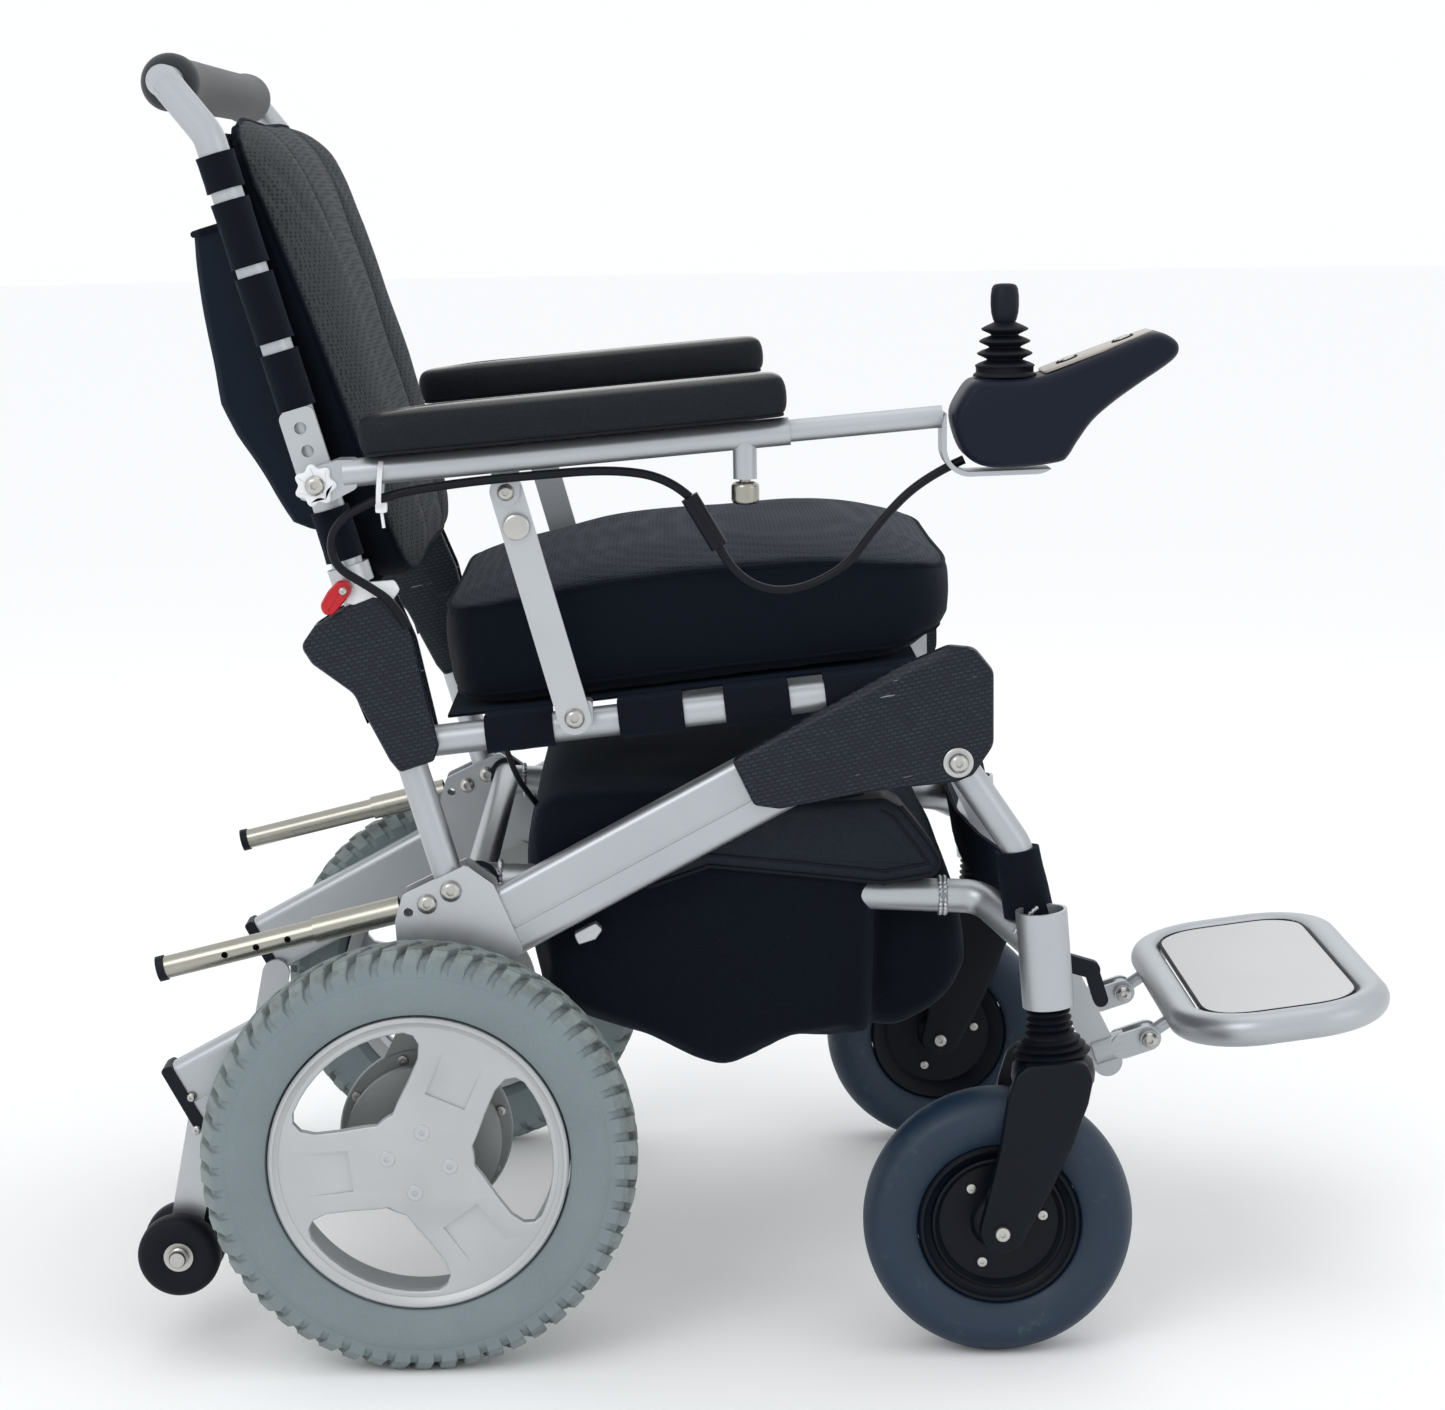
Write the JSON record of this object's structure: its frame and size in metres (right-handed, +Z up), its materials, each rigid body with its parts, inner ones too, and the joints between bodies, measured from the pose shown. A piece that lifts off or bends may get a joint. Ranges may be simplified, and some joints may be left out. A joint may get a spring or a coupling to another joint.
{
  "type": "power wheelchair",
  "caption": "Folding power wheelchair with joystick armrest, padded seat and back, hub drive wheels, front casters and flip-up footplate.",
  "frame": {"origin": "on the floor under the middle of the chair", "axes": "+X forward, +Y to the user's left, +Z up"},
  "size_m": [0.9714, 0.608, 0.9574],
  "materials": {
    "satin_alloy": "satin anodised",
    "plate_alloy": "satin",
    "stainless": "polished",
    "screw_steel": "plain",
    "black_plastic": "moulded",
    "carbon_cover": "twill look",
    "red_plastic": "moulded",
    "dark_fabric": "woven",
    "mesh_fabric": "spacer mesh",
    "foam_grip": "foam",
    "pad_leather": "leatherette",
    "rear_tyre": "solid grey rubber",
    "caster_tyre": "solid slate rubber",
    "motor_paint": "satin",
    "wheel_alloy": "cast, satin",
    "cable_jacket": "pvc jacket",
    "rubber_black": "bellows",
    "panel_grey": "label film",
    "panel_light": "powder coat",
    "battery_case": "moulded"
  },
  "bodies": {
    "chair_frame": {"main_beam_right": "satin_alloy", "main_beam_left": "satin_alloy", "plastic_caps": "black_plastic", "bracket_plates": "plate_alloy", "seat_side_frames": "satin_alloy", "lower_frame": "satin_alloy", "extension_tubes": "stainless", "gear_motors": "motor_paint", "battery_pack": "battery_case", "battery_bag": "dark_fabric", "seat_sling": "dark_fabric", "seat_cushion": "mesh_fabric", "frame_screws": "screw_steel", "front_covers": "carbon_cover", "seat_cable": "cable_jacket"},
    "front_frame": {"front_frame_right": "satin_alloy", "front_frame_left": "satin_alloy", "footrest_hanger": "satin_alloy", "calf_strap": "dark_fabric"},
    "pedal": {"fold_pedal": "black_plastic"},
    "footplate": {"footplate_frame": "satin_alloy", "footplate_panel": "panel_light"},
    "backrest": {"back_frame": "satin_alloy", "push_grip": "foam_grip", "rear_covers": "carbon_cover", "back_fittings": "plate_alloy", "back_sling": "dark_fabric", "back_cushion": "mesh_fabric"},
    "lever_right": {"release_lever_right": "red_plastic"},
    "lever_left": {"release_lever_left": "red_plastic"},
    "controller": {"controller_tube": "satin_alloy", "controller_shell": "black_plastic", "controller_panel": "panel_grey", "joystick_boot": "rubber_black"},
    "speed_button": {"speed_button": "black_plastic"},
    "power_button": {"power_button": "black_plastic"},
    "gimbal": {"stick_gimbal": "screw_steel"},
    "stick": {"joystick": "black_plastic"},
    "clamp_knob": {"set_knob": "stainless"},
    "rear_wheel_right": {"rear_tyre_right": "rear_tyre", "rear_rim_right": "wheel_alloy"},
    "anti_tip_right": {"anti_tip_wheels_right": "rubber_black"},
    "swivel_right": {"caster_fork_right": "black_plastic"},
    "caster_right": {"caster_tyre_right": "caster_tyre", "caster_rim_right": "black_plastic"},
    "armrest_right": {"armrest_tube_right": "satin_alloy", "arm_pad_right": "pad_leather", "front_cable": "cable_jacket", "cable_plug": "black_plastic", "rear_cable": "cable_jacket"},
    "strut_right": {"arm_strut_right": "plate_alloy"},
    "rear_wheel_left": {"rear_tyre_left": "rear_tyre", "rear_rim_left": "wheel_alloy"},
    "anti_tip_left": {"anti_tip_wheels_left": "rubber_black"},
    "swivel_left": {"caster_fork_left": "black_plastic"},
    "caster_left": {"caster_tyre_left": "caster_tyre", "caster_rim_left": "black_plastic"},
    "armrest_left": {"armrest_tube_left": "satin_alloy", "arm_pad_left": "pad_leather"},
    "strut_left": {"arm_strut_left": "plate_alloy"}
  },
  "joints": [
    {"name": "back_fold", "type": "hinge", "parent": "chair_frame", "child": "backrest", "pos_m": [-0.2817, 0, 0.489], "axis": [0, 1, 0], "range_deg": [0, 78], "deforming": ["seat_cushion", "seat_sling", "back_cushion", "back_sling", "rear_cable"]},
    {"name": "front_fold", "type": "hinge", "parent": "chair_frame", "child": "front_frame", "pos_m": [0.1308, 0, 0.4423], "axis": [0, -1, 0], "range_deg": [0, 24]},
    {"name": "pedal_press", "type": "hinge", "parent": "front_frame", "child": "pedal", "pos_m": [0.1843, -0.226, 0.294], "axis": [0, 1, 0], "range_deg": [0, 14]},
    {"name": "footplate_flip", "type": "hinge", "parent": "front_frame", "child": "footplate", "pos_m": [0.2983, 0, 0.1844], "axis": [0, -1, 0], "range_deg": [0, 78]},
    {"name": "controller_slide", "type": "slide", "parent": "armrest_right", "child": "controller", "axis": [0.9968, 0, 0.0802], "range_m": [-0.05, 0.03], "deforming": ["front_cable"]},
    {"name": "stick_pitch", "type": "hinge", "parent": "controller", "child": "gimbal", "pos_m": [0.1623, -0.272, 0.701], "axis": [0, 1, 0], "range_deg": [-12, 12], "stiffness_Nm_per_rad": 0.3, "deforming": ["joystick_boot"]},
    {"name": "stick_roll", "type": "hinge", "parent": "gimbal", "child": "stick", "pos_m": [0.1623, -0.272, 0.701], "axis": [1, 0, 0], "range_deg": [-12, 12], "stiffness_Nm_per_rad": 0.3},
    {"name": "speed_press", "type": "slide", "parent": "controller", "child": "speed_button", "axis": [0.3381, 0, -0.9411], "range_m": [0, 0.0016], "stiffness_N_per_m": 600},
    {"name": "power_press", "type": "slide", "parent": "controller", "child": "power_button", "axis": [0.3381, 0, -0.9411], "range_m": [0, 0.0016], "stiffness_N_per_m": 600},
    {"name": "clamp_turn", "type": "hinge", "parent": "armrest_right", "child": "clamp_knob", "pos_m": [-0.0227, -0.272, 0.644], "axis": [0, 0, 1], "range_deg": [-180, 180]},
    {"name": "wheel_spin_right", "type": "hinge", "parent": "chair_frame", "child": "rear_wheel_right", "pos_m": [-0.2677, -0.277, 0.16], "axis": [0, 1, 0], "continuous": true},
    {"name": "anti_tip_spin_right", "type": "hinge", "parent": "chair_frame", "child": "anti_tip_right", "pos_m": [-0.4547, -0.216, 0.072], "axis": [0, 1, 0], "continuous": true},
    {"name": "swivel_turn_right", "type": "hinge", "parent": "front_frame", "child": "swivel_right", "pos_m": [0.1958, -0.264, 0.262], "axis": [-0.0762, 0, 0.9971], "continuous": true},
    {"name": "caster_spin_right", "type": "hinge", "parent": "swivel_right", "child": "caster_right", "pos_m": [0.1583, -0.264, 0.1], "axis": [0, 1, 0], "continuous": true},
    {"name": "arm_level_right", "type": "hinge", "parent": "backrest", "child": "armrest_right", "pos_m": [-0.3272, -0.255, 0.6546], "axis": [0, 1, 0], "range_deg": [-80, 2]},
    {"name": "strut_fold_right", "type": "hinge", "parent": "chair_frame", "child": "strut_right", "pos_m": [-0.1482, -0.253, 0.4802], "axis": [0, 1, 0], "range_deg": [-2, 80]},
    {"name": "lever_lift_right", "type": "hinge", "parent": "backrest", "child": "lever_right", "pos_m": [-0.3127, -0.255, 0.576], "axis": [0, 1, 0], "range_deg": [0, 25]},
    {"name": "wheel_spin_left", "type": "hinge", "parent": "chair_frame", "child": "rear_wheel_left", "pos_m": [-0.2677, 0.277, 0.16], "axis": [0, 1, 0], "continuous": true},
    {"name": "anti_tip_spin_left", "type": "hinge", "parent": "chair_frame", "child": "anti_tip_left", "pos_m": [-0.4547, 0.216, 0.072], "axis": [0, 1, 0], "continuous": true},
    {"name": "swivel_turn_left", "type": "hinge", "parent": "front_frame", "child": "swivel_left", "pos_m": [0.1958, 0.264, 0.262], "axis": [-0.0762, 0, 0.9971], "continuous": true},
    {"name": "caster_spin_left", "type": "hinge", "parent": "swivel_left", "child": "caster_left", "pos_m": [0.1583, 0.264, 0.1], "axis": [0, 1, 0], "continuous": true},
    {"name": "arm_level_left", "type": "hinge", "parent": "backrest", "child": "armrest_left", "pos_m": [-0.3272, 0.255, 0.6546], "axis": [0, 1, 0], "range_deg": [-80, 2]},
    {"name": "strut_fold_left", "type": "hinge", "parent": "chair_frame", "child": "strut_left", "pos_m": [-0.1482, 0.253, 0.4802], "axis": [0, 1, 0], "range_deg": [-2, 80]},
    {"name": "lever_lift_left", "type": "hinge", "parent": "backrest", "child": "lever_left", "pos_m": [-0.3127, 0.255, 0.576], "axis": [0, 1, 0], "range_deg": [0, 25]}
  ],
  "couplings": [
    {"joint": "arm_level_right", "follows": "back_fold", "ratio": -1},
    {"joint": "strut_fold_right", "follows": "back_fold", "ratio": 1},
    {"joint": "arm_level_left", "follows": "back_fold", "ratio": -1},
    {"joint": "strut_fold_left", "follows": "back_fold", "ratio": 1}
  ]
}
